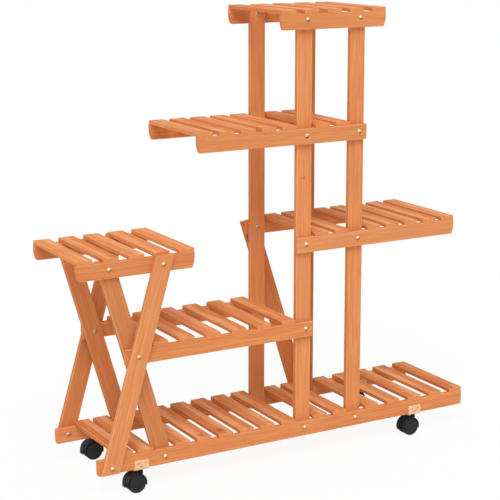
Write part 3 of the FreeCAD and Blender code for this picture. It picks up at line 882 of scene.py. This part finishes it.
@dataclass
class Casters:
    """The four twin wheel casters with their plates and screws."""

    places: Tuple[str, ...] = ("front_left", "front_right", "back_left", "back_right")
    hood_plastic: MouldedPlastic = MouldedPlastic("hood_black_plastic")
    wheel_plastic: MouldedPlastic = MouldedPlastic(
        "wheel_black_plastic", body=linear(32, 34, 33), scuffed=linear(50, 52, 51))
    plate_metal: PlatedMetal = PlatedMetal(
        "plate_yellow_zinc", linear(244, 201, 154), linear(228, 183, 134), metallic=0.3,
        roughness_low=0.44, roughness_high=0.62, cloud=120.0, scratch=500.0)
    screw_metal: PlatedMetal = PlatedMetal(
        "screw_yellow_zinc", linear(226, 182, 134), linear(188, 144, 100), metallic=0.35,
        roughness_low=0.38, roughness_high=0.56)
    pin_metal: PlatedMetal = PlatedMetal(
        "pin_steel", linear(190, 190, 190), linear(140, 140, 142), metallic=1.0,
        roughness_low=0.25, roughness_high=0.45)

    def build(self) -> None:
        """Dress the pieces of every caster."""
        low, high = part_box("caster_hood_back_left")
        fender = ((low.y + high.y) / 2, (high.y - low.y) / 2)
        finishes = {"caster_plate_": self.plate_metal.material(),
                    "caster_hood_": self.hood_plastic.material(fender=fender),
                    "caster_kingpin_": self.pin_metal.material()}
        finishes["caster_axle_"] = finishes["caster_kingpin_"]
        for place in self.places:
            for start, material in finishes.items():
                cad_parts[start + place].material_slots[0].material = material
            low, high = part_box("caster_wheel_outer_" + place)
            wheel = self.wheel_plastic.material("_" + place, (low + high) / 2)
            for start in ("caster_wheel_outer_", "caster_wheel_inner_"):
                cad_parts[start + place].material_slots[0].material = wheel
            LOG.info("caster %s dressed", place)
        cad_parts["caster_screws"].material_slots[0].material = self.screw_metal.material()
        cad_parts["caster_grip_rings"].material_slots[0].material = finishes["caster_kingpin_"]


@dataclass
class Studio:
    """Plain pale floor, soft even light and the camera of the photograph."""

    eye: Vector = field(default_factory=lambda: Vector((-1.476, -2.532, 1.0906)))
    heading: float = math.radians(29.885)
    tilt: float = math.radians(10.9)
    focal_pixels: float = 1458.0
    view_shift: float = -0.1
    floor_side: float = 160.0
    floor_tone: float = 1.0
    floor_glow: float = 0.92
    room_light: float = 0.54
    key_strength: float = 1.86
    key_spread: float = math.radians(38)
    key_from: Vector = field(default_factory=lambda: Vector((-0.55, -1.0, 1.4)))
    nearest: float = 0.05
    farthest: float = 400.0

    def build(self) -> None:
        """Make the floor, the light and the camera."""
        bpy.context.scene.view_settings.view_transform = "Standard"
        self.floor()
        self.room()
        self.lamp()
        self.camera()
        LOG.info("studio ready")

    def seen_directly(self, tree: bpy.types.NodeTree) -> Socket:
        """Socket that is 1 for rays of the camera, of gloss and of glass.

        Args:
            tree: The node tree that the nodes go into.

        Returns:
            The socket.
        """
        path = tree.nodes.new("ShaderNodeLightPath")
        first = tree.nodes.new("ShaderNodeMath")
        first.operation = "MAXIMUM"
        tree.links.new(path.outputs["Is Camera Ray"], first.inputs[0])
        tree.links.new(path.outputs["Is Glossy Ray"], first.inputs[1])
        second = tree.nodes.new("ShaderNodeMath")
        second.operation = "MAXIMUM"
        tree.links.new(first.outputs[0], second.inputs[0])
        tree.links.new(path.outputs["Is Transmission Ray"], second.inputs[1])
        return second.outputs[0]

    def floor(self) -> None:
        """Make the pale floor, which still shows the stand's shadow."""
        bpy.ops.mesh.primitive_plane_add(size=self.floor_side, location=(0, 0, 0))
        ground = bpy.context.object
        ground.name = "floor"
        material = bpy.data.materials.new("floor_white")
        material.use_nodes = True
        tree = material.node_tree
        tree.nodes.clear()
        output = tree.nodes.new("ShaderNodeOutputMaterial")
        matt = tree.nodes.new("ShaderNodeBsdfDiffuse")
        matt.inputs["Color"].default_value = (self.floor_tone,) * 3 + (1.0,)
        glow = tree.nodes.new("ShaderNodeEmission")
        glow.inputs["Strength"].default_value = 1.0
        part = tree.nodes.new("ShaderNodeMath")
        part.operation = "MULTIPLY"
        part.inputs[1].default_value = self.floor_glow
        tree.links.new(self.seen_directly(tree), part.inputs[0])
        both = tree.nodes.new("ShaderNodeMixShader")
        tree.links.new(part.outputs[0], both.inputs[0])
        tree.links.new(matt.outputs[0], both.inputs[1])
        tree.links.new(glow.outputs[0], both.inputs[2])
        tree.links.new(both.outputs[0], output.inputs["Surface"])
        ground.data.materials.append(material)

    def room(self) -> None:
        """Light the stand evenly from all round, in front of plain white."""
        world = bpy.data.worlds.new("studio")
        world.use_nodes = True
        bpy.context.scene.world = world
        tree = world.node_tree
        tree.nodes.clear()
        output = tree.nodes.new("ShaderNodeOutputWorld")
        soft = tree.nodes.new("ShaderNodeBackground")
        soft.inputs["Strength"].default_value = self.room_light
        white = tree.nodes.new("ShaderNodeBackground")
        for background in (soft, white):
            background.inputs["Color"].default_value = (1.0, 1.0, 1.0, 1.0)
        both = tree.nodes.new("ShaderNodeMixShader")
        tree.links.new(self.seen_directly(tree), both.inputs[0])
        tree.links.new(soft.outputs[0], both.inputs[1])
        tree.links.new(white.outputs[0], both.inputs[2])
        tree.links.new(both.outputs[0], output.inputs["Surface"])

    def lamp(self) -> None:
        """Add the broad key light from the upper left."""
        data = bpy.data.lights.new("key", "SUN")
        data.energy = self.key_strength
        data.angle = self.key_spread
        lamp = bpy.data.objects.new("key", data)
        lamp.rotation_euler = self.key_from.to_track_quat("Z", "Y").to_euler()
        bpy.context.scene.collection.objects.link(lamp)

    def camera(self) -> None:
        """Set up the camera where the photograph was taken from."""
        data = bpy.data.cameras.new("view")
        data.sensor_width = SENSOR_WIDTH
        data.lens = self.focal_pixels / IMAGE_SIDE * SENSOR_WIDTH
        data.shift_y = self.view_shift
        data.clip_start = self.nearest
        data.clip_end = self.farthest
        camera = bpy.data.objects.new("view", data)
        camera.location = self.eye
        camera.rotation_euler = (math.pi / 2 - self.tilt, 0.0, -self.heading)
        bpy.context.scene.collection.objects.link(camera)
        bpy.context.scene.camera = camera


def main() -> None:
    """Dress the stand, set up the studio and report each piece."""
    logging.basicConfig(level=logging.INFO, format="%(message)s")
    for selected in list(bpy.context.selected_objects):
        selected.select_set(False)
    Studio().build()
    Timber().build()
    Hardware().build()
    Casters().build()


if __name__ == "__main__":
    main()
